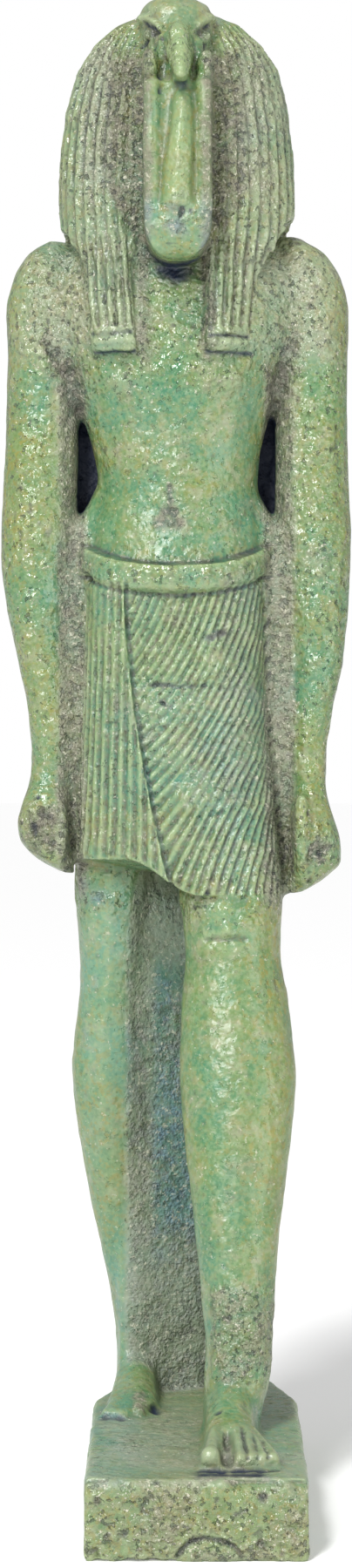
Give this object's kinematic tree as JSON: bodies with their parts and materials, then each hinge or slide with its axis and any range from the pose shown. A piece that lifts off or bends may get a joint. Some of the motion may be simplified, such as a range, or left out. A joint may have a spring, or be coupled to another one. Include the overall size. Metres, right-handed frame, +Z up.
{
  "type": "ibis-headed god statue",
  "caption": "Small striding figure with an ibis head, long wig and pleated kilt, glazed faience, on a low base with a back column.",
  "frame": {"origin": "middle of the object's footprint, on the underside of the base", "axes": "+Z up, the figure looks along -Y, +X to the viewer's right, which is the figure's left"},
  "size_m": [0.0335, 0.0434, 0.1382],
  "materials": {
    "faience": "green glaze, worn and pitted, grey-brown dirt in the hollows"
  },
  "bodies": {
    "root": {"ibis_headed_god_statue": "faience"}
  },
  "joints": []
}
